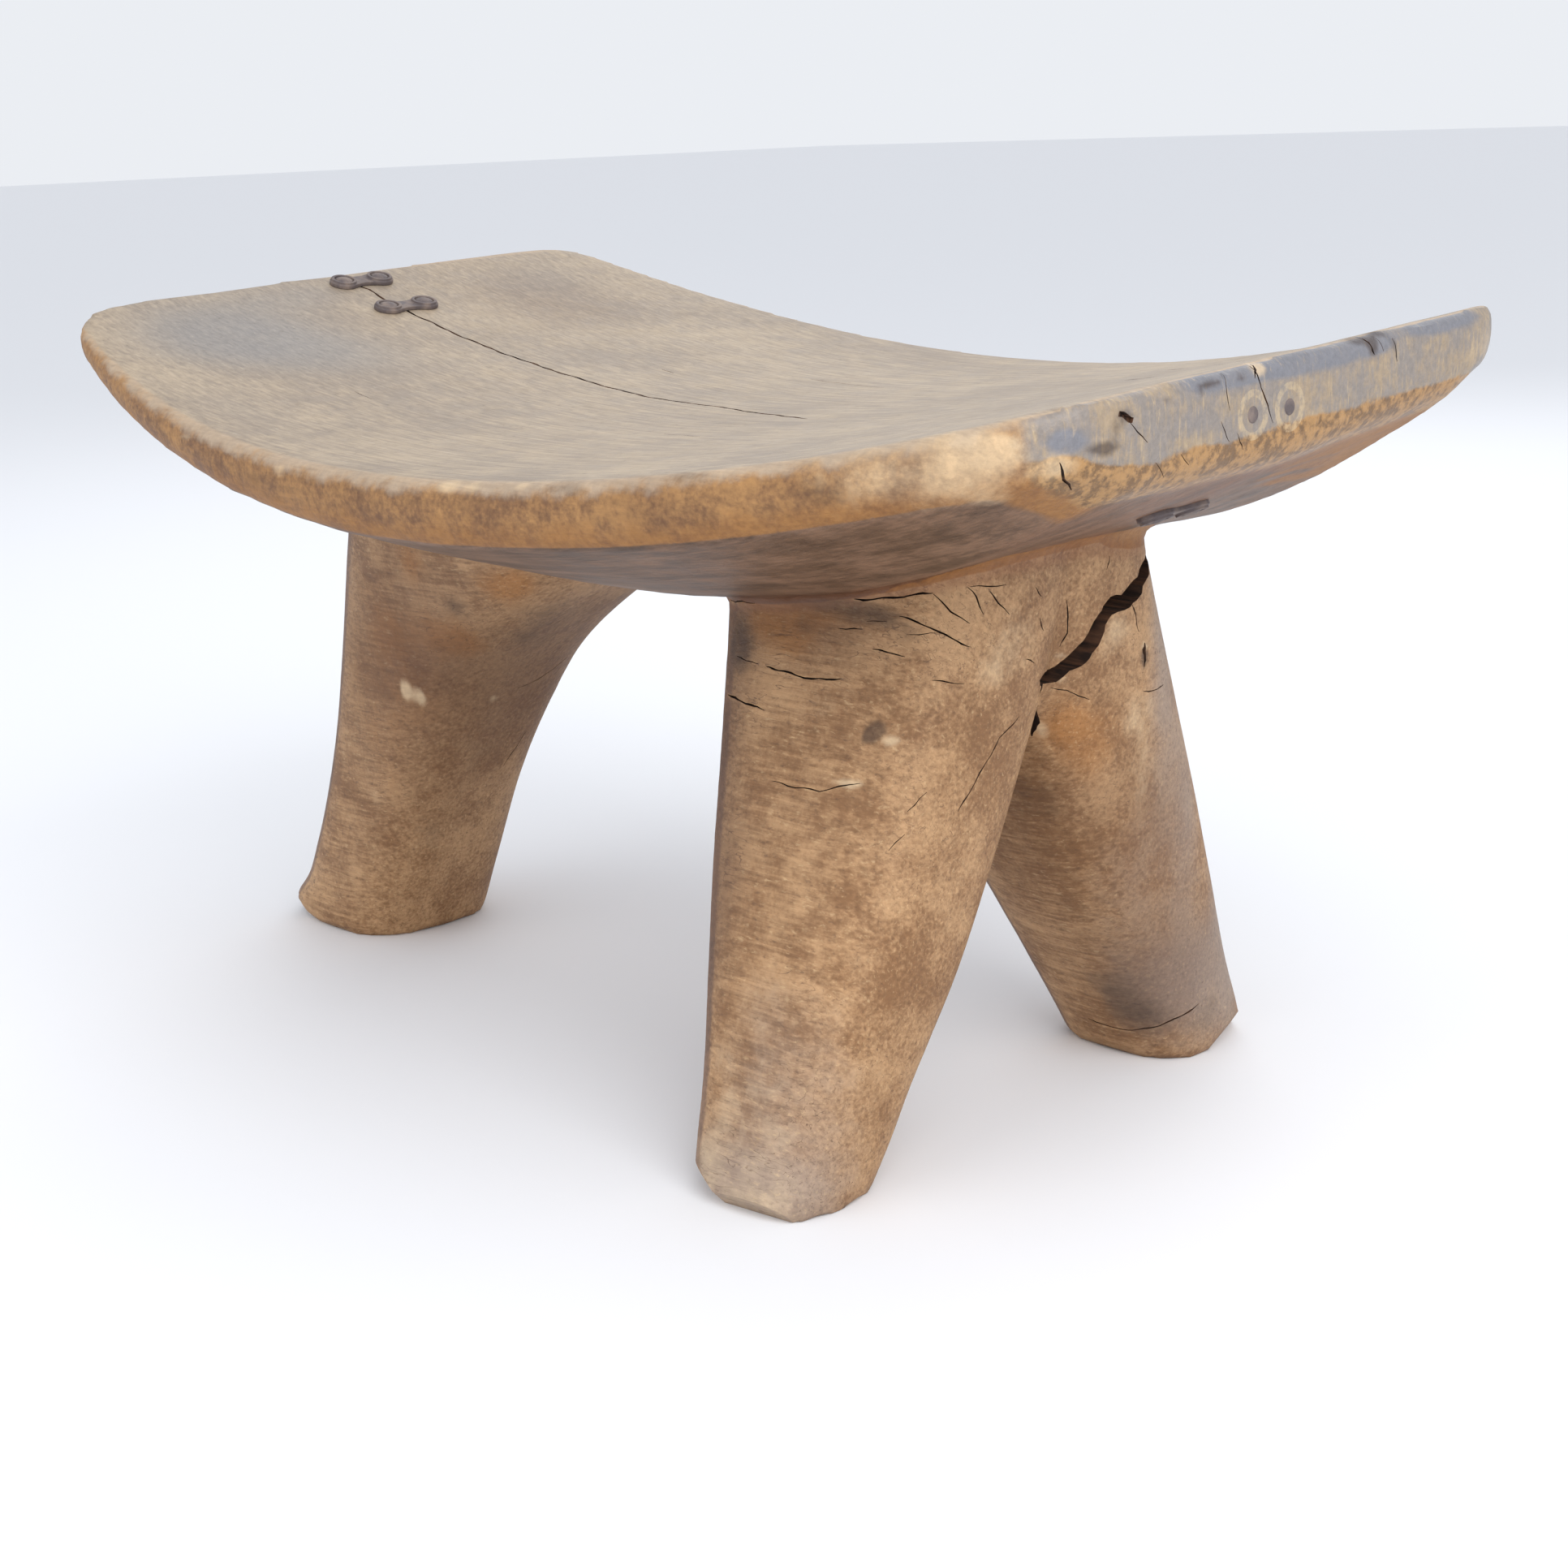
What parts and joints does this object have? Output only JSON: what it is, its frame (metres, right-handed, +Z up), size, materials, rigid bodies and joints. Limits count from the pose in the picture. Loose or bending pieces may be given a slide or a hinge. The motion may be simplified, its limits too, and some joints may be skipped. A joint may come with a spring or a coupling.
{
  "type": "carved three-legged stool",
  "caption": "Low stool carved from a solid log, with a dished seat on a swept leg and a splayed pair of legs, and small iron link plates nailed across its old cracks.",
  "frame": {"origin": "on the ground below the middle of the whole outline", "axes": "+X along the seat from the single leg to the paired legs, +Y across the seat, +Z up"},
  "size_m": [0.37, 0.234, 0.2023],
  "materials": {
    "wood": "old hand-carved hardwood, worn and handled to a low sheen",
    "iron": "old iron, dark brown with rust, worn smooth"
  },
  "bodies": {
    "root": {"stool_body": "wood", "outer_link_plate": "iron", "inner_link_plate": "iron", "underside_link_plate": "iron", "outer_plate_nail_near": "iron", "outer_plate_nail_far": "iron", "inner_plate_nail_near": "iron", "inner_plate_nail_far": "iron", "underside_plate_nail_near": "iron", "underside_plate_nail_far": "iron", "end_face_pin_near": "iron", "end_face_pin_far": "iron"}
  },
  "joints": []
}
